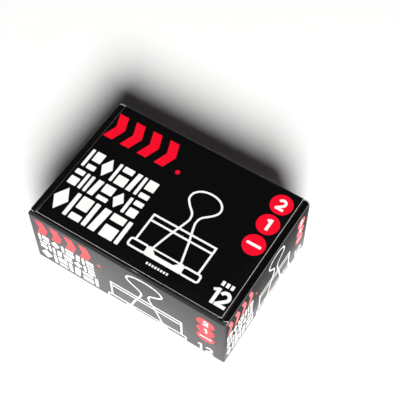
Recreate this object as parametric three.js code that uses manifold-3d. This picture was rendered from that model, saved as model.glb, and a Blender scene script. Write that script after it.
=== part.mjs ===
// A folding carton of printed paperboard, shut, with twelve large spring clips packed inside it.
// Units are millimetres. +X runs along the carton, +Y to its back, +Z up.
// The origin is the middle of the carton's underside.
import * as THREE from 'three';
import { mergeVertices } from 'three/addons/utils/BufferGeometryUtils.js';
import Module from 'manifold-3d';

const wasm = await Module();
wasm.setup();

// ---------------------------------------------------------------- driving dimensions
const LENGTH = 146;
const DEPTH = 101.6;
const HEIGHT = 54.6;
const BOARD = 0.5;
const CREASE = 0.1;

const SHOULDER_R = 2;
const LID_INSET = 4.7;
const LID_GAP = 0.3;
const TUCK_DEPTH = 14;
const TUCK_LEAN = THREE.MathUtils.degToRad(8.5);
const TUCK_CORNER_R = 8;
const TUCK_INSET = 2;

const DUST_REACH = 26;
const DUST_CLEAR_OF_TUCK = 5.3;
const DUST_BACK_START = 2.8;
const DUST_BACK_SLOPE = 1.7;
const DUST_CORNER_CUT = 5;
const DUST_RELIEF_SLANT = 1;

const SEAM_TAB = 15;
const SEAM_TAB_END_GAP = 0.3;
const BOTTOM_INNER_REACH = 72;
const BOTTOM_DUST_REACH = 45;

const CLIPS_PER_ROW = 6;
const CLIP_WIDTH = 50.8;
const BODY_WIDTH = 47;
const SPINE_HEIGHT = 21.6;
const END_CLEARANCE = 0.3;
const SPINE_CORNER_R = 1.5;
const SHEET = 0.4;
const ROLL_R = 2.1;
const ROLL_SWEEP = THREE.MathUtils.degToRad(285);
const LIP_GAP = 0.1;
const SPINE_TO_LIP = 25.6;
const NOTCH_WIDTH = 25.4;
const WIRE_R = 0.9;
const WIRE_STEPS = 26;
const HANDLE_REACH = 55.1;
const HANDLE_TIP_SPACING = 2.1;
const JAW_END_BEFORE_LIP = 1.2;
const CLIP_CLEARANCE = 0.2;
const FRONT_SPINE_Y = -45;
const BACK_SPINE_Y = 49.4;

// ---------------------------------------------------------------- derived dimensions
const HALF_L = LENGTH / 2;
const HALF_D = DEPTH / 2;
const LAYER = BOARD + CREASE;
const INNER_L = LENGTH - 2 * BOARD;
const LID_HALF = HALF_L - LID_INSET;
const LID_FRONT_Y = -HALF_D + SHOULDER_R + LID_GAP;
const LID_UNDER_Z = HEIGHT - BOARD;
const DUST_TOP_Z = LID_UNDER_Z - LID_GAP;
const DUST_UNDER_Z = DUST_TOP_Z - BOARD;
const FLOOR_Z = 2 * LAYER + BOARD;
const ROLL_X = LIP_GAP / 2 + ROLL_R;
const ROW_L = INNER_L - 2 * END_CLEARANCE;
const PITCH = (ROW_L - SPINE_HEIGHT) / (CLIPS_PER_ROW - 0.5);
const CLIP_Z = FLOOR_Z + CLIP_CLEARANCE + CLIP_WIDTH / 2;

// ---------------------------------------------------------------- materials
const printedBoard = new THREE.MeshStandardMaterial({ color: 0x0b0b0c, roughness: 0.35, metalness: 0 });
const blackSteel = new THREE.MeshStandardMaterial({ color: 0x111114, roughness: 0.3, metalness: 0.2 });
const nickelWire = new THREE.MeshStandardMaterial({ color: 0xc9cbd0, roughness: 0.2, metalness: 1 });

const carton = new THREE.Group();

function addMesh(parent, name, geometry, material) {
  const mesh = new THREE.Mesh(geometry, material);
  mesh.name = name;
  parent.add(mesh);
  return mesh;
}

// ---------------------------------------------------------------- shared geometry helpers
function shapeOf(points) {
  return new THREE.Shape(points.map(([x, y]) => new THREE.Vector2(x, y)));
}

// A flat sheet: an outline in X and Y, raised from z = 0 by one thickness of board.
function sheetOf(points, thickness = BOARD) {
  return new THREE.ExtrudeGeometry(shapeOf(points), { depth: thickness, bevelEnabled: false });
}

function slab(x0, x1, y0, y1, z0, z1) {
  const geometry = new THREE.BoxGeometry(x1 - x0, y1 - y0, z1 - z0);
  geometry.translate((x0 + x1) / 2, (y0 + y1) / 2, (z0 + z1) / 2);
  return geometry;
}

// Points on an arc, from one angle to another, both ends included.
function arcPoints(cx, cy, radius, from, to, steps) {
  return Array.from({ length: steps + 1 }, (_, i) => {
    const angle = from + ((to - from) * i) / steps;
    return [cx + radius * Math.cos(angle), cy + radius * Math.sin(angle)];
  });
}

// The closed outline of a strip of even thickness along a centre line.
function stripOutline(line, thickness) {
  const left = [];
  const right = [];
  line.forEach(([x, y], i) => {
    const before = line[Math.max(i - 1, 0)];
    const after = line[Math.min(i + 1, line.length - 1)];
    const dirIn = new THREE.Vector2(x - before[0], y - before[1]);
    const dirOut = new THREE.Vector2(after[0] - x, after[1] - y);
    if (i === 0) dirIn.copy(dirOut);
    if (i === line.length - 1) dirOut.copy(dirIn);
    dirIn.normalize();
    dirOut.normalize();
    const mean = dirIn.clone().add(dirOut).normalize();
    const reach = thickness / 2 / mean.dot(dirIn);
    left.push([x - mean.y * reach, y + mean.x * reach]);
    right.push([x + mean.y * reach, y - mean.x * reach]);
  });
  return left.concat(right.reverse());
}

function toSolid(geometry) {
  const bare = geometry.clone();
  bare.deleteAttribute('normal');
  bare.deleteAttribute('uv');
  const merged = mergeVertices(bare);
  return new wasm.Manifold(new wasm.Mesh({
    numProp: 3,
    vertProperties: new Float32Array(merged.attributes.position.array),
    triVerts: new Uint32Array(merged.index.array),
  }));
}

function toGeometry(solid) {
  const mesh = solid.getMesh();
  const geometry = new THREE.BufferGeometry();
  geometry.setAttribute('position', new THREE.BufferAttribute(mesh.vertProperties, 3));
  geometry.setIndex(new THREE.BufferAttribute(mesh.triVerts, 1));
  geometry.computeVertexNormals();
  return geometry;
}

// ---------------------------------------------------------------- carton walls
// The front wall stands on the bottom panel and its top edge rolls inwards in a round shoulder.
function frontWall() {
  const centreY = -HALF_D + SHOULDER_R;
  const centreZ = HEIGHT - SHOULDER_R;
  const line = [
    [-HALF_D + BOARD / 2, LAYER],
    ...arcPoints(centreY, centreZ, SHOULDER_R - BOARD / 2, Math.PI, Math.PI / 2, 6),
  ];
  const geometry = new THREE.ExtrudeGeometry(shapeOf(stripOutline(line, BOARD)), {
    depth: LENGTH,
    bevelEnabled: false,
  });
  // The outline lies in Y and Z, so the extrusion's own axes turn to (Y, Z, X).
  geometry.applyMatrix4(new THREE.Matrix4().makeBasis(
    new THREE.Vector3(0, 1, 0),
    new THREE.Vector3(0, 0, 1),
    new THREE.Vector3(1, 0, 0),
  ));
  geometry.translate(-HALF_L, 0, 0);
  return geometry;
}

function addWalls() {
  const sideEnd = HALF_D - LAYER - CREASE;
  const sideTop = DUST_UNDER_Z - CREASE;
  addMesh(carton, 'front_wall', frontWall(), printedBoard);
  addMesh(carton, 'back_wall',
    slab(-HALF_L, HALF_L, HALF_D - BOARD, HALF_D, LAYER, LID_UNDER_Z - CREASE), printedBoard);
  addMesh(carton, 'left_wall',
    slab(-HALF_L, -HALF_L + BOARD, -sideEnd, sideEnd, LAYER, sideTop), printedBoard);
  addMesh(carton, 'right_wall',
    slab(HALF_L - BOARD, HALF_L, -sideEnd, sideEnd, LAYER, sideTop), printedBoard);
  addMesh(carton, 'glue_seam_tab',
    slab(-HALF_L + LAYER, -HALF_L + LAYER + SEAM_TAB, sideEnd - BOARD, sideEnd,
      FLOOR_Z + SEAM_TAB_END_GAP, sideTop - SEAM_TAB_END_GAP), printedBoard);
}

// ---------------------------------------------------------------- glued bottom
function addBottom() {
  const insideX = HALF_L - LAYER;
  const insideY = HALF_D - LAYER;
  addMesh(carton, 'bottom_outer_panel', slab(-HALF_L, HALF_L, -HALF_D, HALF_D, 0, BOARD), printedBoard);
  addMesh(carton, 'bottom_inner_panel',
    slab(-insideX, insideX, -insideY, -insideY + BOTTOM_INNER_REACH, LAYER, LAYER + BOARD), printedBoard);
  for (const [side, sign] of [['left', -1], ['right', 1]]) {
    const near = sign * insideX;
    const far = sign * (insideX - BOTTOM_DUST_REACH);
    const outline = [
      [near, -insideY],
      [near, insideY],
      [far, insideY - DUST_CORNER_CUT],
      [far, -insideY + DUST_CORNER_CUT],
    ];
    const flap = addMesh(carton, `bottom_${side}_dust_flap`,
      sheetOf(sign < 0 ? outline.slice().reverse() : outline), printedBoard);
    flap.position.z = 2 * LAYER;
  }
}

// ---------------------------------------------------------------- lid, tuck flap and top dust flaps
function addLid() {
  addMesh(carton, 'lid_panel',
    slab(-LID_HALF, LID_HALF, LID_FRONT_Y, HALF_D, LID_UNDER_Z, HEIGHT), printedBoard);

  const half = LID_HALF - TUCK_INSET;
  const lowest = -TUCK_DEPTH;
  const r = TUCK_CORNER_R;
  const outline = [
    [half, 0],
    [-half, 0],
    ...arcPoints(-half + r, lowest + r, r, Math.PI, 1.5 * Math.PI, 6),
    ...arcPoints(half - r, lowest + r, r, 1.5 * Math.PI, 2 * Math.PI, 6),
  ];
  // The sheet stands on edge below the lid's front edge and leans inwards.
  const flap = addMesh(carton, 'lid_tuck_flap', sheetOf(outline), printedBoard);
  flap.rotation.x = Math.PI / 2 + TUCK_LEAN;
  flap.position.set(0, LID_FRONT_Y + BOARD, LID_UNDER_Z - CREASE);
}

// The outline follows the lid's hinge, so that the flap rises under the lid without meeting it.
function addDustFlaps() {
  const backY = HALF_D - LAYER;
  const frontY = -HALF_D + SHOULDER_R + LID_GAP;
  const taperY = HALF_D - DUST_BACK_START;
  const cornerReach = LID_INSET;
  const taperEndY = HALF_D - DUST_REACH / DUST_BACK_SLOPE;
  for (const [side, sign] of [['left', -1], ['right', 1]]) {
    const edge = sign * HALF_L;
    const outline = [
      [0, backY],
      [cornerReach, backY],
      [cornerReach, taperY],
      [DUST_REACH, taperEndY],
      [DUST_REACH, frontY + DUST_CLEAR_OF_TUCK + DUST_CORNER_CUT],
      [DUST_REACH - DUST_CORNER_CUT, frontY + DUST_CLEAR_OF_TUCK],
      [cornerReach, frontY + DUST_CLEAR_OF_TUCK],
      [cornerReach - DUST_RELIEF_SLANT, frontY],
      [0, frontY],
    ].map(([reach, y]) => [edge - sign * reach, y]);
    const flap = addMesh(carton, `${side}_dust_flap`,
      sheetOf(sign < 0 ? outline.slice().reverse() : outline), printedBoard);
    flap.position.z = DUST_UNDER_Z;
  }
}

// ---------------------------------------------------------------- spring clips
// In its own frame a clip's spine is at y = 0, its jaws close at the lips along +Y,
// and its width runs along Z.
function springBodyGeometry() {
  const halfSpine = SPINE_HEIGHT / 2 - SHEET / 2;
  const rollLineR = ROLL_R - SHEET / 2;
  const jawLean = Math.atan2(halfSpine - LIP_GAP, SPINE_TO_LIP);
  const cornerTurn = Math.PI / 2 + jawLean;
  const spineY = SHEET / 2;
  const cornerX = halfSpine - SPINE_CORNER_R;
  const rollStart = Math.PI + jawLean;
  const rightHalf = [
    ...arcPoints(cornerX, spineY + SPINE_CORNER_R, SPINE_CORNER_R, -Math.PI / 2, cornerTurn - Math.PI / 2, 3),
    ...arcPoints(ROLL_X, SPINE_TO_LIP, rollLineR, rollStart, rollStart - ROLL_SWEEP, 7),
  ];
  const leftHalf = rightHalf.map(([x, y]) => [-x, y]).reverse();
  const profile = shapeOf(stripOutline(leftHalf.concat(rightHalf), SHEET));
  const full = new THREE.ExtrudeGeometry(profile, { depth: CLIP_WIDTH, bevelEnabled: false });
  full.translate(0, 0, -CLIP_WIDTH / 2);

  // The rolls stop at the middle notch, and the jaws and spine are narrower than the rolls.
  const reach = SPINE_HEIGHT;
  const jawEnd = SPINE_TO_LIP - JAW_END_BEFORE_LIP;
  const rollBack = SPINE_TO_LIP - ROLL_R - 0.1;
  const notch = slab(-reach, reach, jawEnd, 2 * SPINE_TO_LIP, -NOTCH_WIDTH / 2, NOTCH_WIDTH / 2);
  let solid = toSolid(full).subtract(toSolid(notch));
  for (const sign of [-1, 1]) {
    const inner = (sign * BODY_WIDTH) / 2;
    const outer = sign * CLIP_WIDTH;
    const trim = slab(-reach, reach, -reach, rollBack, Math.min(inner, outer), Math.max(inner, outer));
    solid = solid.subtract(toSolid(trim));
  }
  return toGeometry(solid);
}

// One bent wire: its two ends lie in the lip rolls, its legs close to a neck, and a round loop ends it.
function handleGeometry() {
  const half = [
    [-21.5, 0],
    [-15.5, 0],
    [-11.2, 0.1],
    [-9.8, 2.2],
    [-8.6, 12],
    [-4.3, 26],
    [-2.35, 34],
    [-4.4, 38.4],
    [-8.8, 42],
    [-10.8, 47],
    [-9.2, 51.6],
    [-5.2, 54.4],
  ];
  const mirrored = half.map(([across, out]) => [-across, out]).reverse();
  const outline = [...half, [0, HANDLE_REACH], ...mirrored];
  const points = outline.map(([across, out]) => new THREE.Vector3(0, out, across));
  const path = new THREE.CatmullRomCurve3(points, false, 'centripetal');
  const section = shapeOf(arcPoints(0, 0, WIRE_R, 0, (2 * Math.PI * 5) / 6, 5));
  return new THREE.ExtrudeGeometry(section, { steps: WIRE_STEPS, extrudePath: path, bevelEnabled: false });
}

function addClip(number, bodyGeometry, wireGeometry, x, spineY, turned) {
  const clip = new THREE.Group();
  const label = `clip_${String(number).padStart(2, '0')}`;
  addMesh(clip, `${label}_spring_body`, bodyGeometry, blackSteel);
  const lean = Math.asin((ROLL_X - HANDLE_TIP_SPACING / 2) / HANDLE_REACH);
  for (const [side, sign] of [['a', -1], ['b', 1]]) {
    const handle = addMesh(clip, `${label}_handle_${side}`, wireGeometry, nickelWire);
    handle.position.set(sign * ROLL_X, SPINE_TO_LIP, 0);
    handle.rotation.z = sign * lean;
  }
  clip.rotation.z = turned ? Math.PI : 0;
  clip.position.set(x, spineY, CLIP_Z);
  carton.add(clip);
}

function addClips() {
  const bodyGeometry = springBodyGeometry();
  const wireGeometry = handleGeometry();
  const firstX = -ROW_L / 2 + SPINE_HEIGHT / 2;
  for (let i = 0; i < CLIPS_PER_ROW; i += 1) {
    const frontX = firstX + i * PITCH;
    const backX = frontX + PITCH / 2;
    addClip(i + 1, bodyGeometry, wireGeometry, frontX, FRONT_SPINE_Y, false);
    addClip(i + 1 + CLIPS_PER_ROW, bodyGeometry, wireGeometry, backX, BACK_SPINE_Y, true);
  }
}

addWalls();
addBottom();
addLid();
addDustFlaps();
addClips();

export default carton;
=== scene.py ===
"""A shut folding carton of printed black board, with twelve large spring clips packed inside it."""
import math

import bmesh
import bpy
from mathutils import Matrix, Vector
from mathutils.geometry import tessellate_polygon


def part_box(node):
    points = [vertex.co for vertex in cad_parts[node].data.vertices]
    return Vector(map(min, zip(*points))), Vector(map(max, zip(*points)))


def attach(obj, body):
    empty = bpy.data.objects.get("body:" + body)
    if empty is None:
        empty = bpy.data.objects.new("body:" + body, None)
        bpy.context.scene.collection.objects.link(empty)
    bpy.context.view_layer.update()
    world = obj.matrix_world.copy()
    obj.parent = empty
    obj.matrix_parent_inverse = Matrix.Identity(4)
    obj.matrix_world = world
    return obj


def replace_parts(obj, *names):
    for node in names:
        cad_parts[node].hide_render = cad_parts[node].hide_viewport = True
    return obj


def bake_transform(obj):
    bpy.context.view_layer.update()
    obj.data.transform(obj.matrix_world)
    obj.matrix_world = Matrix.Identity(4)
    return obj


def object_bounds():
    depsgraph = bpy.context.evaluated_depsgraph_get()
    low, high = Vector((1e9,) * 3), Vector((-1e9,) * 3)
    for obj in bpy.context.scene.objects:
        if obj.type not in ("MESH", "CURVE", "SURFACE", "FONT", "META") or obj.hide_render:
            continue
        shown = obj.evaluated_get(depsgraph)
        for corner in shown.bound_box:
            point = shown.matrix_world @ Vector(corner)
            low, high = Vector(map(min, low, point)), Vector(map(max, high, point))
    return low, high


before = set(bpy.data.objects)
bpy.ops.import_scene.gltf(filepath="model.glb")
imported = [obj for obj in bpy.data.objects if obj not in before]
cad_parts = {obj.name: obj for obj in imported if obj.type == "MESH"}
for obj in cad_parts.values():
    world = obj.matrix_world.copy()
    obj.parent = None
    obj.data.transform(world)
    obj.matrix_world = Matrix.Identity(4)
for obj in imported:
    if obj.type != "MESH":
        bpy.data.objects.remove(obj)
cad_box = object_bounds()

MM = 0.001
LOW, HIGH = [Vector(corner) / MM for corner in cad_box]
LENGTH = HIGH.x - LOW.x
DEPTH = HIGH.y - LOW.y
HEIGHT = HIGH.z
HALF_L = LENGTH / 2
HALF_D = DEPTH / 2

# Board and creases, in millimetres like every size below.
BOARD = 0.5
CORNER_R = 0.9
SHOULDER_R = 2.0
CREASE_R = 0.6
SIDE_DROP = 1.4
FOOT_LIFT = 0.02
TUCK_LEAN = 8.5
TUCK_CORNER = 8.0

# A dust flap starts as a strip beside the lid, then steps down under it. The three ends are distances from its
# side wall. The strip's two ends are eased in, its crown lies a little under the lid's top, and the flap is cut
# back from the tuck flap, along a slope at the back, and across its front corner.
STRIP_END = 3.8
STEP_END = 4.8
STRIP_EASE_END = 2.4
STRIP_EASE = 1.2
CROWN_DROP = 0.15
DUST_CLEAR_OF_TUCK = 5.3
DUST_BACK_SLOPE = 1.7
DUST_CORNER_CUT = 5

# Ink is raised a little, and each layer of it has its own level.
INK = 0.02
INK_GAP = 0.004


# ---------------------------------------------------------------- materials
def new_material(name, color, roughness, metallic=0.0, ior=1.5):
    """A material and its shader node."""
    material = bpy.data.materials.new(name)
    material.use_nodes = True
    shader = material.node_tree.nodes["Principled BSDF"]
    shader.inputs["Base Color"].default_value = (*color, 1)
    shader.inputs["Roughness"].default_value = roughness
    shader.inputs["Metallic"].default_value = metallic
    shader.inputs["IOR"].default_value = ior
    return material, shader


def noise(material, scale, detail=3.0):
    """A noise pattern in the object's own coordinates, with scale in cells per metre."""
    nodes = material.node_tree.nodes
    coordinates = nodes.new("ShaderNodeTexCoord")
    pattern = nodes.new("ShaderNodeTexNoise")
    pattern.inputs["Scale"].default_value = scale
    pattern.inputs["Detail"].default_value = detail
    material.node_tree.links.new(coordinates.outputs["Object"], pattern.inputs["Vector"])
    return pattern.outputs["Fac"]


def vary(material, source, socket, low, high):
    """Spreads a pattern between two values of a number socket."""
    spread = material.node_tree.nodes.new("ShaderNodeMapRange")
    spread.inputs["From Min"].default_value = 0.3
    spread.inputs["From Max"].default_value = 0.7
    spread.inputs["To Min"].default_value = low
    spread.inputs["To Max"].default_value = high
    material.node_tree.links.new(source, spread.inputs["Value"])
    material.node_tree.links.new(spread.outputs["Result"], socket)


def tint(material, source, socket, dark, light):
    """Spreads a pattern between two colours."""
    ramp = material.node_tree.nodes.new("ShaderNodeValToRGB")
    ramp.color_ramp.elements[0].position = 0.3
    ramp.color_ramp.elements[0].color = (*dark, 1)
    ramp.color_ramp.elements[1].position = 0.7
    ramp.color_ramp.elements[1].color = (*light, 1)
    material.node_tree.links.new(source, ramp.inputs["Fac"])
    material.node_tree.links.new(ramp.outputs["Color"], socket)


def bump(material, shader, source, depth, strength=1.0):
    """Raises the surface by a pattern, with depth in metres."""
    node = material.node_tree.nodes.new("ShaderNodeBump")
    node.inputs["Strength"].default_value = strength
    node.inputs["Distance"].default_value = depth
    material.node_tree.links.new(source, node.inputs["Height"])
    material.node_tree.links.new(node.outputs["Normal"], shader.inputs["Normal"])


def printed_board(name, color, spread=0.15):
    """Ink under a satin varnish, on clay-coated board: faint mottle, and a very fine orange peel."""
    material, shader = new_material(name, color, 0.3, ior=1.6)
    dark = [c * (1 - spread) for c in color]
    light = [min(1.0, c * (1 + spread)) for c in color]
    tint(material, noise(material, 260), shader.inputs["Base Color"], dark, light)
    vary(material, noise(material, 1400), shader.inputs["Roughness"], 0.27, 0.33)
    bump(material, shader, noise(material, 3200), 0.000004, 0.3)
    return material


def raw_board(name, dark, light):
    """Uncoated board, with its fibres."""
    material, shader = new_material(name, light, 0.9)
    tint(material, noise(material, 1500, 6), shader.inputs["Base Color"], dark, light)
    bump(material, shader, noise(material, 4000, 5), 0.00003, 0.6)
    return material


def black_enamel():
    """Baked enamel on spring steel, even and glossy."""
    dark, light = (0.007, 0.007, 0.008), (0.012, 0.012, 0.013)
    material, shader = new_material("black_enamel", dark, 0.22)
    shader.inputs["Coat Weight"].default_value = 0.6
    shader.inputs["Coat Roughness"].default_value = 0.08
    tint(material, noise(material, 90), shader.inputs["Base Color"], dark, light)
    vary(material, noise(material, 160), shader.inputs["Roughness"], 0.2, 0.26)
    bump(material, shader, noise(material, 900), 0.000004, 0.15)
    return material


def bright_nickel():
    """Plated wire, with the faint haze of handling."""
    dark, light = (0.72, 0.70, 0.67), (0.84, 0.82, 0.79)
    material, shader = new_material("bright_nickel", light, 0.2, metallic=1.0)
    tint(material, noise(material, 400), shader.inputs["Base Color"], dark, light)
    vary(material, noise(material, 600), shader.inputs["Roughness"], 0.16, 0.26)
    bump(material, shader, noise(material, 3000), 0.000003, 0.2)
    return material


BLACK = printed_board("black_print", (0.0022, 0.0022, 0.0024))
WHITE = printed_board("white_print", (0.90, 0.90, 0.88), 0.03)
RED = printed_board("red_print", (0.86, 0.004, 0.022), 0.05)
INSIDE = raw_board("uncoated_inside", (0.42, 0.39, 0.34), (0.60, 0.57, 0.51))
# The pale core shows on every cut edge. Across the lid's front fold, where a real carton's board is unbroken,
# it is a painted highlight.
CORE_AND_FOLD_HIGHLIGHT = raw_board("board_core_and_fold_highlight", (0.42, 0.41, 0.40), (0.72, 0.71, 0.69))
ENAMEL = black_enamel()
NICKEL = bright_nickel()
BOARD_SLOTS = (BLACK, INSIDE, CORE_AND_FOLD_HIGHLIGHT)
FACE, BACK, RIM = range(3)


# ---------------------------------------------------------------- mesh helpers
def piece(name, mesh, materials, body=None):
    """One object of the look."""
    obj = bpy.data.objects.new(name, mesh)
    bpy.context.scene.collection.objects.link(obj)
    for material in materials:
        mesh.materials.append(material)
    if body:
        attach(obj, body)
    return obj


def soften_edges(obj, width, material_index=-1, segments=2, angle=50):
    """Rounds the sharp edges and keeps the result as the piece's own mesh."""
    modifier = obj.modifiers.new("edges", "BEVEL")
    modifier.width = width * MM
    modifier.segments = segments
    modifier.limit_method = "ANGLE"
    modifier.angle_limit = math.radians(angle)
    modifier.material = material_index
    modifier.use_clamp_overlap = True
    keep_shape(obj)


def keep_shape(obj):
    """Turns the piece's modifiers into its mesh."""
    shaped = obj.evaluated_get(bpy.context.evaluated_depsgraph_get())
    mesh = bpy.data.meshes.new_from_object(shaped)
    obj.modifiers.clear()
    obj.data = mesh


def arc(cx, cy, radius, start, end, steps):
    """Points on an arc, with the angles in degrees and both ends included."""
    points = []
    for i in range(steps + 1):
        angle = math.radians(start + (end - start) * i / steps)
        points.append((cx + radius * math.cos(angle), cy + radius * math.sin(angle)))
    return points


def strip_sides(line, thickness, closed=False):
    """The two sides of a strip of even thickness along a centre line."""
    count = len(line)
    left, right = [], []
    for i, (x, y) in enumerate(line):
        before = line[i - 1] if closed or i else line[0]
        after = line[(i + 1) % count] if closed or i < count - 1 else line[-1]
        heading_in = Vector((x - before[0], y - before[1]))
        heading_out = Vector((after[0] - x, after[1] - y))
        if heading_in.length == 0:
            heading_in = heading_out.copy()
        if heading_out.length == 0:
            heading_out = heading_in.copy()
        heading_in.normalize()
        heading_out.normalize()
        mean = (heading_in + heading_out).normalized()
        reach = thickness / 2 / max(mean.dot(heading_in), 0.4)
        left.append((x - mean.y * reach, y + mean.x * reach))
        right.append((x + mean.y * reach, y - mean.x * reach))
    return left, right


def smooth_line(points, steps=6, closed=False):
    """A Catmull-Rom line through the points."""
    count = len(points)
    line = []
    for i in range(count if closed else count - 1):
        p0, p1, p2, p3 = [
            Vector(points[k % count] if closed else points[min(max(k, 0), count - 1)])
            for k in (i - 1, i, i + 1, i + 2)
        ]
        for s in range(steps):
            t = s / steps
            line.append(tuple(0.5 * (
                2 * p1 + (p2 - p0) * t
                + (2 * p0 - 5 * p1 + 4 * p2 - p3) * t * t
                + (3 * p1 - p0 - 3 * p2 + p3) * t ** 3
            )))
    if not closed:
        line.append(tuple(points[-1]))
    return line


# ---------------------------------------------------------------- carton: bent sheets of board
def bent_sheet(name, path, spans, place, body=None, columns=1):
    """A closed sheet along a path, as wide at each path point as its span. place turns (across, a, b) into
    a point. The printed face is on the path's left."""
    outer, inner = strip_sides(path, BOARD)
    mesh = bpy.data.meshes.new(name)
    bm = bmesh.new()
    grids = []
    for side in (outer, inner):
        grid = []
        for (a, b), (low, high) in zip(side, spans):
            row = [low + (high - low) * c / columns for c in range(columns + 1)]
            grid.append([bm.verts.new(Vector(place(across, a, b)) * MM) for across in row])
        grids.append(grid)
    rows = len(path)

    def face(corners, index):
        bm.faces.new(corners).material_index = index

    for r in range(rows - 1):
        for c in range(columns):
            for grid, index in zip(grids, (FACE, BACK)):
                face([grid[r][c], grid[r + 1][c], grid[r + 1][c + 1], grid[r][c + 1]], index)
        for c in (0, columns):
            face([grids[0][r][c], grids[0][r + 1][c], grids[1][r + 1][c], grids[1][r][c]], RIM)
    for r in (0, rows - 1):
        for c in range(columns):
            face([grids[0][r][c], grids[0][r][c + 1], grids[1][r][c + 1], grids[1][r][c]], RIM)
    bmesh.ops.recalc_face_normals(bm, faces=bm.faces)
    for f in bm.faces:
        f.smooth = True
    bm.to_mesh(mesh)
    bm.free()
    obj = piece(name, mesh, BOARD_SLOTS, body)
    soften_edges(obj, 0.18, RIM)
    return obj


def plan_loop():
    """The sleeve's outer plan: points, each with its outward direction."""
    loop = []
    corners = ((1, -1, -90), (1, 1, 0), (-1, 1, 90), (-1, -1, 180))
    for sx, sy, start in corners:
        cx = sx * (HALF_L - CORNER_R)
        cy = sy * (HALF_D - CORNER_R)
        for i in range(7):
            angle = math.radians(start + 15 * i)
            normal = Vector((math.cos(angle), math.sin(angle)))
            loop.append((Vector((cx, cy)) + normal * CORNER_R, normal))
    return loop


def make_sleeve():
    """The four walls in one piece, with round corners, a rolled front shoulder and a rounded foot."""
    side_top = HEIGHT - SIDE_DROP
    back_top = HEIGHT - CREASE_R
    bm = bmesh.new()
    rings = []
    for point, normal in plan_loop():
        front = max(0.0, -normal.y) ** 2
        back = max(0.0, normal.y) ** 2
        side = 1 - front - back
        top = front * HEIGHT + back * back_top + side * side_top
        shoulder = front * (SHOULDER_R - BOARD) + 0.001
        outer_r = shoulder + BOARD
        profile = [(BOARD, FOOT_LIFT)]
        profile += [(BOARD - x, z) for x, z in arc(0, BOARD, BOARD - FOOT_LIFT, -60, 0, 3)]
        roll = arc(0, 0, 1, 0, 90, 8)
        bend = outer_r * front
        profile += [(bend * (1 - c), top - bend * (1 - s)) for c, s in roll]
        inner = shoulder * front
        profile += [(BOARD + inner * (1 - c), top - bend + inner * s) for c, s in roll[::-1]]
        profile += [(BOARD, BOARD + 0.3)]
        rings.append([
            bm.verts.new(Vector((point.x - normal.x * d, point.y - normal.y * d, z)) * MM) for d, z in profile
        ])
    # The last ten points of a ring are on the inside, and the face before them is the cut edge.
    last_face = len(rings[0]) - 10
    for ring, after in zip(rings, rings[1:] + rings[:1]):
        for k in range(len(ring)):
            n = (k + 1) % len(ring)
            face = bm.faces.new([ring[k], after[k], after[n], ring[n]])
            face.material_index = FACE if k < last_face - 1 else BACK
            if k == last_face - 1:
                face.material_index = RIM
            face.smooth = True
    bmesh.ops.remove_doubles(bm, verts=bm.verts, dist=1e-7)
    bmesh.ops.recalc_face_normals(bm, faces=bm.faces)
    mesh = bpy.data.meshes.new("sleeve")
    bm.to_mesh(mesh)
    bm.free()
    obj = piece("sleeve", mesh, BOARD_SLOTS, "root")
    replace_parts(obj, "front_wall", "back_wall", "left_wall", "right_wall")
    return obj


def straight(a0, a1, b, steps):
    """Points along a line at height b."""
    return [(a0 + (a1 - a0) * i / steps, b) for i in range(steps + 1)]


def make_lid():
    """The lid bends up from the back wall, and its cut ends show the pale core, also as a painted highlight on
    the front fold.
    """
    lid_low, lid_high = [c / MM for c in map(Vector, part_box("lid_panel"))]
    middle = BOARD / 2
    back_y = HALF_D - middle
    z = HEIGHT - middle
    bend = CREASE_R - middle
    front_y = lid_low.y + bend
    path = [(back_y, z - bend - 0.15)]
    path += arc(back_y - bend, z - bend, bend, 0, 90, 6)
    # The lid stops just short of the front fold, where its pale cut end paints the fold's highlight.
    path += straight(back_y - bend - 1, front_y + 0.6, z, 8)
    # The path runs towards the front, so the printed face is on its right: it is turned round.
    path.reverse()
    spans = [(lid_low.x, lid_high.x)] * len(path)
    lid = bent_sheet("lid", path, spans, lambda x, y, zz: (x, y, zz), columns=12)
    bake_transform(lid)
    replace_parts(lid, "lid_panel")

    tuck_low, tuck_high = [c / MM for c in map(Vector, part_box("lid_tuck_flap"))]
    lean = math.radians(TUCK_LEAN)
    depth = tuck_high.z - tuck_low.z
    fold = arc(front_y, z - bend, bend, 90, 180, 6)
    drop = []
    steps = 12
    for i in range(1, steps + 1):
        down = depth * i / steps
        drop.append((lid_low.y + middle + down * math.tan(lean), z - bend - down))
    # The tuck flap starts a little apart from the lid, so the pale cut ends of both paint a highlight line
    # along the front fold.
    path = [(front_y + 0.5, z)] + fold + drop
    spans = []
    half = tuck_high.x
    for y, zz in path:
        into_corner = max(0.0, (z - bend - zz) - (depth - TUCK_CORNER))
        cut = TUCK_CORNER - math.sqrt(max(0.0, TUCK_CORNER ** 2 - into_corner ** 2))
        spans.append((-half + cut, half - cut))
    path.reverse()
    spans.reverse()
    tuck = bent_sheet("tuck_flap", path, spans, lambda x, y, zz: (x, -y, zz), columns=1)
    for v in tuck.data.vertices:
        v.co.y = -v.co.y
    tuck.data.flip_normals()
    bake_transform(tuck)
    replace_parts(tuck, "lid_tuck_flap")


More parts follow.
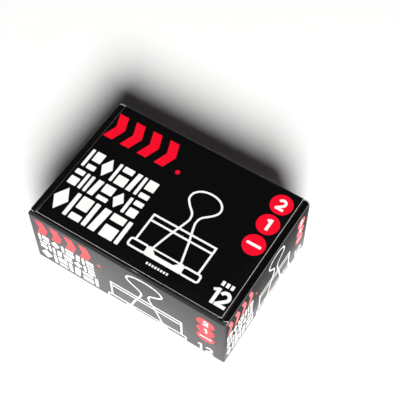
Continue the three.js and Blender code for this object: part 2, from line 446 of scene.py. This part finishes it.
def make_dust_flap(side, sign):
    """A dust flap bends in from the top of its side wall, then steps down and lies under the lid."""
    node = f"{side}_dust_flap"
    low, high = [c / MM for c in map(Vector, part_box(node))]
    middle = BOARD / 2
    z = high.z - middle
    bend = CREASE_R - middle
    reach = high.x - low.x
    start = -(HALF_L - middle)
    crown = HEIGHT - CROWN_DROP - middle
    path = [(start, z - bend - 0.4)]
    path += arc(start + bend, crown - bend, bend, 180, 90, 6)
    strip = ((1.0, crown), (2.4, crown - 0.12), (3.7, crown - 0.35), (4.7, z))
    path += [(-HALF_L + r, height) for r, height in strip]
    path += [(-HALF_L + r, z) for r in (5.6, 9, 13, 17, 21, 23, 24.6, reach)]
    spans = []
    for x, _ in path:
        r = x + HALF_L
        ease = STRIP_EASE * max(0.0, 1 - r / STRIP_EASE_END)
        front = low.y if r < STRIP_END else low.y + DUST_CLEAR_OF_TUCK
        front += max(0.0, r - (reach - DUST_CORNER_CUT))
        front += ease
        rear = high.y if r < STEP_END else HALF_D - r / DUST_BACK_SLOPE
        rear -= ease
        spans.append((front, rear))
    flap = bent_sheet(f"{side}_dust", path, spans, lambda y, x, zz: (-sign * x, y, zz), columns=4)
    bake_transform(flap)
    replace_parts(flap, node)


def make_flat_board(node):
    """A hidden or glued panel, rebuilt with soft edges and a raw or printed face."""
    low, high = [c / MM for c in map(Vector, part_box(node))]
    printed_below = node == "bottom_outer_panel"
    inset = 0.5 if printed_below else 0.0
    corners = [
        (low.x + inset, low.y + inset), (high.x - inset, low.y + inset),
        (high.x - inset, high.y - inset), (low.x + inset, high.y - inset),
    ]
    bm = bmesh.new()
    if high.y - low.y < 1:
        ring = [(low.x, low.z), (high.x, low.z), (high.x, high.z - 3), (high.x - 3, high.z), (low.x, high.z)]
        layers = [[bm.verts.new(Vector((x, y, z)) * MM) for x, z in ring] for y in (low.y, high.y)]
    else:
        layers = [[bm.verts.new(Vector((x, y, z)) * MM) for x, y in corners] for z in (low.z, high.z)]
    count = len(layers[0])
    bm.faces.new(layers[0]).material_index = FACE if printed_below else BACK
    bm.faces.new(layers[1]).material_index = BACK
    for k in range(count):
        n = (k + 1) % count
        bm.faces.new([layers[0][k], layers[0][n], layers[1][n], layers[1][k]]).material_index = RIM
    bmesh.ops.recalc_face_normals(bm, faces=bm.faces)
    mesh = bpy.data.meshes.new(node)
    bm.to_mesh(mesh)
    bm.free()
    obj = piece(node + "_board", mesh, BOARD_SLOTS, "root")
    soften_edges(obj, 0.14, RIM)
    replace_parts(obj, node)


def make_carton():
    """Every sheet of the carton, with no print yet."""
    make_sleeve()
    make_lid()
    for side, sign in (("left", -1), ("right", 1)):
        make_dust_flap(side, sign)
    for node in ("bottom_outer_panel", "bottom_inner_panel", "bottom_left_dust_flap",
                 "bottom_right_dust_flap", "glue_seam_tab"):
        make_flat_board(node)


# ---------------------------------------------------------------- print
class Print:
    """Flat ink shapes on one panel. Each is a thin closed prism, and a later layer lies on an earlier one."""

    def __init__(self, name, origin, across, up, width, height, body):
        self.name = name
        self.origin = Vector(origin)
        self.across = Vector(across)
        self.up = Vector(up)
        self.normal = self.across.cross(self.up)
        self.width = width
        self.height = height
        self.body = body
        self.bm = bmesh.new()

    def point(self, u, v, lift):
        return (self.origin + self.across * u + self.up * v + self.normal * lift) * MM

    def fill(self, outline, color=0, layer=0):
        base = layer * INK + INK_GAP
        rings = [
            [self.bm.verts.new(self.point(u, v, lift)) for u, v in outline]
            for lift in (base, base + INK)
        ]
        triangles = tessellate_polygon([[Vector((u, v, 0)) for u, v in outline]])
        for ring in rings:
            for triangle in triangles:
                self.bm.faces.new([ring[k] for k in triangle]).material_index = color
        count = len(outline)
        for k in range(count):
            n = (k + 1) % count
            self.bm.faces.new([rings[0][k], rings[0][n], rings[1][n], rings[1][k]]).material_index = color

    def band(self, sides, closed, color=0, layer=0):
        """A stroke as a closed prism: quads between its two sides."""
        base = layer * INK + INK_GAP
        under, over = [
            [[self.bm.verts.new(self.point(u, v, lift)) for u, v in side] for side in sides]
            for lift in (base, base + INK)
        ]
        count = len(sides[0])
        quads = []
        for k in range(count if closed else count - 1):
            n = (k + 1) % count
            for ring in (under, over):
                quads.append([ring[0][k], ring[0][n], ring[1][n], ring[1][k]])
            for s in (0, 1):
                quads.append([under[s][k], under[s][n], over[s][n], over[s][k]])
        if not closed:
            for k in (0, count - 1):
                quads.append([under[0][k], under[1][k], over[1][k], over[0][k]])
        for quad in quads:
            self.bm.faces.new(quad).material_index = color

    def stroke(self, line, thickness, color=0, layer=0, closed=False):
        self.band(strip_sides(line, thickness, closed), closed, color, layer)

    def finish(self):
        bmesh.ops.recalc_face_normals(self.bm, faces=self.bm.faces)
        mesh = bpy.data.meshes.new(self.name)
        self.bm.to_mesh(mesh)
        self.bm.free()
        piece(self.name, mesh, (WHITE, RED), self.body)


def round_box(x0, y0, x1, y1, r, steps=4):
    """The outline of a box with round corners."""
    centres = ((x1 - r, y0 + r), (x1 - r, y1 - r), (x0 + r, y1 - r), (x0 + r, y0 + r))
    points = []
    for quarter, (cx, cy) in enumerate(centres):
        start = 90 * quarter - 90
        points += arc(cx, cy, r, start, start + 90, steps)
    return points


def draw_clip(ink, box, thickness):
    """The line drawing of one clip, seen from the side of its handle."""
    x0, y0, x1, y1 = box
    sx = (x1 - x0) / 52.3
    sy = (y1 - y0) / 59.3
    cx = (x0 + x1) / 2

    def at(x, y):
        return (cx + x * sx, y0 + y * sy)

    for sign in (-1, 1):
        inner, outer = sorted((sign * 12.9, sign * 25.5))
        ends = round_box(*at(inner, 0.7), *at(outer, 6.2), 1.6 * min(sx, sy))
        ink.stroke(ends, thickness, closed=True)
    ink.stroke([at(-22.8, 6.8), at(-22.8, 27), at(22.8, 27), at(22.8, 6.8)], thickness, layer=1)
    ink.stroke([at(-22.1, 22.6), at(22.1, 22.6)], thickness, layer=2)
    ink.stroke([at(-12.6, 6.3), at(12.6, 6.3)], thickness * 0.8, layer=2)
    ink.fill([at(x, y) for x, y in (
        (-12.9, 0), (12.9, 0), (12.9, 5.9), (9.6, 5.9), (6.6, 3.2), (-6.6, 3.2), (-9.6, 5.9), (-12.9, 5.9),
    )], layer=3)
    half = [(-10.4, 6), (-6.6, 20.5), (-2.9, 32.5), (-2.3, 36.5), (-3.6, 40.6), (-8.2, 45), (-11, 49.2),
            (-10.4, 53.7), (-6.4, 57.3)]
    whole = half + [(0, 58.6)] + [(-x, y) for x, y in reversed(half)]
    ink.stroke(smooth_line([at(x, y) for x, y in whole]), thickness, layer=4)


def draw_one(ink, cx, cy, size, weight, layer):
    """The numeral 1: a stem and a short flag."""
    top = cy + size / 2
    stem = cx + size * 0.08
    flag = [(cx - size * 0.2, top - size * 0.22), (cx + size * 0.06, top - size * 0.08)]
    ink.stroke([(stem, cy - size / 2), (stem, top)], weight, layer=layer)
    ink.stroke(flag, weight * 0.8, layer=layer + 1)


def draw_two(ink, cx, cy, size, weight, layer):
    """The numeral 2: a bow that runs down to a foot."""
    r = size * 0.25
    base = cy - size / 2 + weight / 2
    bow = arc(cx, cy + size / 2 - r - weight / 2, r, 165, -40, 10)
    ink.stroke(bow + [(cx - r, base)], weight, layer=layer)
    ink.stroke([(cx - r - weight * 0.4, base), (cx + r + weight * 0.4, base)], weight, layer=layer + 1)


# A row of plain blocks stands for each line of print. A block has its share of the row's width, and its cut.
WHOLE, SPLIT_LOW, SPLIT_HIGH, SLANTED, DIAMOND = range(5)
ROWS = (
    ((0.35, WHOLE), (1.0, SPLIT_LOW), (1.3, DIAMOND), (0.35, WHOLE), (1.2, SPLIT_HIGH), (0.7, SLANTED),
     (0.35, WHOLE), (1.1, SPLIT_LOW)),
    ((1.0, SPLIT_HIGH), (0.35, WHOLE), (0.35, WHOLE), (0.8, SLANTED), (1.2, SPLIT_LOW), (1.2, DIAMOND),
     (0.35, WHOLE), (1.0, SPLIT_HIGH)),
    ((1.3, DIAMOND), (0.35, WHOLE), (1.0, SPLIT_LOW), (0.4, WHOLE), (0.8, SLANTED), (1.2, SPLIT_HIGH),
     (0.35, WHOLE)),
)


def cut_block(x0, y0, x1, y1, cut):
    """The outlines of one block: whole, cut in two across, slanted, or a diamond."""
    if cut == WHOLE:
        return [round_box(x0, y0, x1, y1, 0.6)]
    if cut == SLANTED:
        lean = (x1 - x0) * 0.22
        return [[(x0, y0), (x1 - lean, y0), (x1, y1), (x0 + lean, y1)]]
    if cut == DIAMOND:
        cx, cy = (x0 + x1) / 2, (y0 + y1) / 2
        return [[(cx, y0), (x1, cy), (cx, y1), (x0, cy)]]
    slot = (y1 - y0) * 0.2
    level = y0 + (y1 - y0) * (0.36 if cut == SPLIT_LOW else 0.60)
    return [
        round_box(x0, y0, x1, level - slot / 2, 0.5),
        round_box(x0, level + slot / 2, x1, y1, 0.5),
    ]


def draw_row(ink, marks, x0, y0, x1, y1):
    """One row of blocks across the box."""
    gap = (x1 - x0) * 0.03
    unit = (x1 - x0 - gap * (len(marks) - 1)) / sum(share for share, _ in marks)
    x = x0
    for share, cut in marks:
        for outline in cut_block(x, y0, x + share * unit, y1, cut):
            ink.fill(outline)
        x += share * unit + gap


def draw_dashes(ink, x0, y0, x1, y1, count):
    """Small print: short upright dashes."""
    pitch = (x1 - x0) / (count - 0.35)
    for k in range(count):
        x = x0 + k * pitch
        ink.fill(round_box(x, y0, x + pitch * 0.65, y1, 0.2, 2))


def draw_badge_row(ink, x0, y0, x1, y1):
    """A generic red mark: four slanted bars and a dot."""
    span = (x1 - x0) * 0.9
    pitch = span / 4
    width = pitch * 0.8
    slant = (y1 - y0) * 0.18
    for k in range(4):
        x = x0 + k * pitch
        middle = (y0 + y1) / 2
        ink.fill([(x, y0), (x + width - slant, y0), (x + width, middle), (x + width - slant, y1), (x, y1),
                  (x + slant, middle)], color=1)
    r = (x1 - x0) * 0.028
    ink.fill(arc(x1 - r, y0 + r, r, 0, 345, 23), color=1)


def draw_panel(ink, layout):
    """The same artwork on every panel, in boxes given as shares of the panel's width and height."""
    w, h = ink.width, ink.height

    def box(key):
        x0, y0, x1, y1 = layout[key]
        return x0 * w, y0 * h, x1 * w, y1 * h

    draw_badge_row(ink, *box("badge"))
    for key, marks in zip(("row_1", "row_2", "row_3"), ROWS):
        draw_row(ink, marks, *box(key))
    draw_clip(ink, box("clip"), layout["stroke"])
    rx = layout["disc_r"][0] * w
    ry = layout["disc_r"][1] * h
    for k, v in enumerate(layout["disc_v"]):
        cx = layout["disc_u"] * w
        cy = v * h
        ink.fill([(cx + rx * c, cy + ry * s) for c, s in arc(0, 0, 1, 0, 352, 44)], color=1)
        if k == 0:
            draw_two(ink, cx, cy, ry * 1.15, ry * 0.25, 1)
        elif k == 1:
            draw_one(ink, cx, cy, ry * 1.15, ry * 0.27, 1)
        else:
            bar = round_box(cx - rx * 0.68, cy - ry * 0.13, cx + rx * 0.68, cy + ry * 0.13, ry * 0.1)
            ink.fill(bar, layer=1)
    x0, y0, x1, y1 = box("count")
    size = y1 - y0
    draw_one(ink, x0 + (x1 - x0) * 0.2, (y0 + y1) / 2, size, size * 0.2, 0)
    draw_two(ink, x0 + (x1 - x0) * 0.68, (y0 + y1) / 2, size, size * 0.2, 0)
    if "dash" in layout:
        for key, count in (("dash", 3), ("caption", 8)):
            draw_dashes(ink, *box(key), count)


TOP_ART = {
    "badge": (0.038, 0.725, 0.444, 0.925), "row_1": (0.049, 0.459, 0.403, 0.603),
    "row_2": (0.049, 0.309, 0.405, 0.432), "row_3": (0.043, 0.105, 0.418, 0.283),
    "clip": (0.445, 0.139, 0.803, 0.722), "stroke": 1.4,
    "disc_u": 0.903, "disc_v": (0.883, 0.717, 0.549), "disc_r": (0.052, 0.075),
    "count": (0.868, 0.081, 0.960, 0.195), "dash": (0.885, 0.214, 0.943, 0.246),
    "caption": (0.568, 0.092, 0.677, 0.108),
}
WALL_ART = {
    "badge": (0.032, 0.632, 0.373, 0.910), "row_1": (0.030, 0.454, 0.330, 0.603),
    "row_2": (0.030, 0.289, 0.330, 0.423), "row_3": (0.024, 0.060, 0.341, 0.255),
    "clip": (0.390, 0.007, 0.810, 0.920), "stroke": 1.35,
    "disc_u": 0.905, "disc_v": (0.771, 0.582, 0.405), "disc_r": (0.0445, 0.095),
    "count": (0.859, 0.024, 0.955, 0.176),
}


def make_prints():
    """The lid has its own layout, and all four walls share one."""
    panels = (
        Print("lid_print", (-HALF_L, -HALF_D, HEIGHT), (1, 0, 0), (0, 1, 0), LENGTH, DEPTH, "lid"),
        Print("front_print", (-HALF_L, -HALF_D, 0), (1, 0, 0), (0, 0, 1), LENGTH, HEIGHT, "root"),
        Print("right_print", (HALF_L, -HALF_D, 0), (0, 1, 0), (0, 0, 1), DEPTH, HEIGHT, "root"),
        Print("back_print", (HALF_L, HALF_D, 0), (-1, 0, 0), (0, 0, 1), LENGTH, HEIGHT, "root"),
        Print("left_print", (-HALF_L, HALF_D, 0), (0, -1, 0), (0, 0, 1), DEPTH, HEIGHT, "root"),
    )
    for ink in panels:
        draw_panel(ink, TOP_ART if ink.name == "lid_print" else WALL_ART)
        ink.finish()


# ---------------------------------------------------------------- clips
CLIP_WIDTH = 50.8
BODY_WIDTH = 47.0
NOTCH = 25.4
SHEET = 0.4
ROLL_R = 2.1
SPINE_TO_LIP = 25.6
SPINE_HALF = 21.6 / 2 - SHEET / 2
ROLL_X = 0.05 + ROLL_R
WIRE_R = 0.9
TIP_SPACING = 2.1
HANDLE_REACH = 55.1


def body_line():
    """The middle of the bent sheet, from one lip roll round the spine to the other."""
    lean = math.degrees(math.atan2(SPINE_HALF - 0.1, SPINE_TO_LIP))
    corner = 1.5
    half = arc(SPINE_HALF - corner, SHEET / 2 + corner, corner, -90, lean, 8)
    tangent = arc(ROLL_X, SPINE_TO_LIP, ROLL_R - SHEET / 2, 180 + lean, 180 + lean - 285, 28)
    last = Vector(half[-1])
    jaw = [tuple(last.lerp(Vector(tangent[0]), k / 12)) for k in range(1, 12)]
    line = half + jaw + tangent
    return [(-x, y) for x, y in reversed(line)] + line


def clip_body_mesh():
    """A grid of sheet, with the notch and the narrow jaws cut from it, then given its thickness."""
    line = body_line()
    levels = sorted({0.0, *(s * v for s in (-1, 1) for v in (NOTCH / 2, BODY_WIDTH / 2, CLIP_WIDTH / 2))})
    bm = bmesh.new()
    grid = [[bm.verts.new(Vector((x, y, z)) * MM) for z in levels] for x, y in line]
    jaw_end = SPINE_TO_LIP - 1.0
    roll_back = SPINE_TO_LIP - ROLL_R
    for i in range(len(line) - 1):
        x = (line[i][0] + line[i + 1][0]) / 2
        y = (line[i][1] + line[i + 1][1]) / 2
        on_roll = math.hypot(abs(x) - ROLL_X, y - SPINE_TO_LIP) < ROLL_R and y > roll_back
        for k in range(len(levels) - 1):
            z = (levels[k] + levels[k + 1]) / 2
            if abs(z) < NOTCH / 2 and (y > jaw_end or abs(x) > ROLL_X and on_roll):
                continue
            if abs(z) > BODY_WIDTH / 2 and not on_roll:
                continue
            bm.faces.new([grid[i][k], grid[i + 1][k], grid[i + 1][k + 1], grid[i][k + 1]]).smooth = True
    loose = [v for v in bm.verts if not v.link_faces]
    bmesh.ops.delete(bm, geom=loose, context="VERTS")
    mesh = bpy.data.meshes.new("clip_body")
    bm.to_mesh(mesh)
    bm.free()
    obj = bpy.data.objects.new("clip_body_maker", mesh)
    bpy.context.scene.collection.objects.link(obj)
    thicken = obj.modifiers.new("sheet", "SOLIDIFY")
    thicken.thickness = SHEET * MM
    thicken.offset = 0
    thicken.use_even_offset = True
    round_off = obj.modifiers.new("edges", "BEVEL")
    round_off.width = 0.08 * MM
    round_off.segments = 2
    round_off.limit_method = "ANGLE"
    round_off.angle_limit = math.radians(50)
    keep_shape(obj)
    mesh = obj.data
    bpy.data.objects.remove(obj)
    return mesh


def handle_mesh():
    """One wire, swept round along its own line: two feet, narrowing legs and a loop."""
    half = [(-21.5, 0), (-18, 0), (-15.5, 0), (-13, 0), (-11.2, 0.1), (-10.3, 0.9), (-9.8, 2.2), (-8.6, 12),
            (-4.3, 26), (-2.35, 34), (-4.4, 38.4), (-8.8, 42), (-10.8, 47), (-9.2, 51.6), (-5.2, 54.4)]
    points = smooth_line(half + [(0, HANDLE_REACH)] + [(-z, y) for z, y in reversed(half)], 5)
    sides = 14
    bm = bmesh.new()
    rings = []
    for i, (z, y) in enumerate(points):
        ahead = Vector(points[min(i + 1, len(points) - 1)])
        behind = Vector(points[max(i - 1, 0)])
        heading = (ahead - behind).normalized()
        flat = Vector((0, heading.x, -heading.y))
        ring = []
        for k in range(sides):
            angle = 2 * math.pi * k / sides
            offset = Vector((math.cos(angle), 0, 0)) + flat * math.sin(angle)
            ring.append(bm.verts.new((Vector((0, y, z)) + offset * WIRE_R) * MM))
        rings.append(ring)
    for ring, after in zip(rings, rings[1:]):
        for k in range(sides):
            n = (k + 1) % sides
            bm.faces.new([ring[k], ring[n], after[n], after[k]]).smooth = True
    bm.faces.new(rings[0])
    bm.faces.new(rings[-1])
    bmesh.ops.recalc_face_normals(bm, faces=bm.faces)
    mesh = bpy.data.meshes.new("handle")
    bm.to_mesh(mesh)
    bm.free()
    return mesh


def make_clips():
    """Two rows of six, with the second row turned to face the first."""
    body_mesh = clip_body_mesh()
    wire_mesh = handle_mesh()
    lean = math.asin((ROLL_X - TIP_SPACING / 2) / HANDLE_REACH)
    for number in range(1, 13):
        label = f"clip_{number:02d}"
        low, high = [c / MM for c in map(Vector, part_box(f"{label}_spring_body"))]
        turned = number > 6
        spine = high.y if turned else low.y
        place = Matrix.Translation(Vector(((low.x + high.x) / 2, spine, (low.z + high.z) / 2)) * MM)
        place = place @ Matrix.Rotation(math.pi if turned else 0, 4, "Z")
        body = body_mesh.copy()
        body.transform(place)
        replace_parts(piece(f"{label}_body", body, (ENAMEL,), "root"), f"{label}_spring_body")
        for side, sign in (("a", -1), ("b", 1)):
            wire = wire_mesh.copy()
            at_lip = Matrix.Translation(Vector((sign * ROLL_X, SPINE_TO_LIP, 0)) * MM)
            wire.transform(place @ at_lip @ Matrix.Rotation(sign * lean, 4, "Z"))
            handle = piece(f"{label}_wire_{side}", wire, (NICKEL,), "root")
            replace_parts(handle, f"{label}_handle_{side}")


# ---------------------------------------------------------------- stage
def make_camera():
    """The view looks down on the front right corner."""
    azimuth, elevation, roll = math.radians(33.04), math.radians(58.11), math.radians(-0.52)
    distance = 667.7
    aim = Vector((4.3, 28.8, HEIGHT / 2))
    back = Vector((math.sin(azimuth) * math.cos(elevation), -math.cos(azimuth) * math.cos(elevation),
                   math.sin(elevation)))
    right = Vector((0, 0, 1)).cross(back).normalized()
    up = back.cross(right)
    turn = Matrix((right, up, back)).transposed().to_4x4() @ Matrix.Rotation(roll, 4, "Z")
    data = bpy.data.cameras.new("camera")
    data.sensor_width = 36
    data.lens = 90.8
    camera = bpy.data.objects.new("camera", data)
    camera.matrix_world = Matrix.Translation((aim + back * distance) * MM) @ turn
    bpy.context.scene.collection.objects.link(camera)
    bpy.context.scene.camera = camera


def make_floor():
    """A wide sheet of white paper, in metres."""
    dark, light = (0.925, 0.925, 0.915), (0.935, 0.935, 0.925)
    material, shader = new_material("floor_paper", light, 0.8)
    tint(material, noise(material, 40), shader.inputs["Base Color"], dark, light)
    half = 3.0
    corners = [(-half, -half, 0), (half, -half, 0), (half, half, 0), (-half, half, 0)]
    mesh = bpy.data.meshes.new("floor")
    mesh.from_pydata(corners, [], [(0, 1, 2, 3)])
    mesh.materials.append(material)
    floor = bpy.data.objects.new("floor", mesh)
    bpy.context.scene.collection.objects.link(floor)


def area_light(name, place, size, watts, aim=(0, 0, 0)):
    """A round light that faces its aim, in metres."""
    data = bpy.data.lights.new(name, "AREA")
    data.shape = "DISK"
    data.size = size
    data.energy = watts
    lamp = bpy.data.objects.new(name, data)
    lamp.location = place
    lamp.rotation_euler = (Vector(aim) - Vector(place)).to_track_quat("-Z", "Y").to_euler()
    bpy.context.scene.collection.objects.link(lamp)


def make_light():
    """One broad key from the front right, and a sky that is pale at the horizon and dark overhead."""
    area_light("key", (3.1, -4.2, 3.7), 2.5, 830)
    bpy.context.scene.view_settings.view_transform = "Standard"
    world = bpy.data.worlds.new("studio")
    bpy.context.scene.world = world
    world.use_nodes = True
    nodes, links = world.node_tree.nodes, world.node_tree.links
    coordinates = nodes.new("ShaderNodeTexCoord")
    split = nodes.new("ShaderNodeSeparateXYZ")
    ramp = nodes.new("ShaderNodeValToRGB")
    ramp.color_ramp.elements[0].position = 0.05
    ramp.color_ramp.elements[0].color = (0.97, 0.97, 0.95, 1)
    ramp.color_ramp.elements[1].position = 0.2
    ramp.color_ramp.elements[1].color = (0.006, 0.006, 0.006, 1)
    links.new(coordinates.outputs["Generated"], split.inputs[0])
    links.new(split.outputs["Z"], ramp.inputs["Fac"])
    links.new(ramp.outputs["Color"], nodes["Background"].inputs["Color"])


make_carton()
make_prints()
make_clips()
make_floor()
make_light()
make_camera()
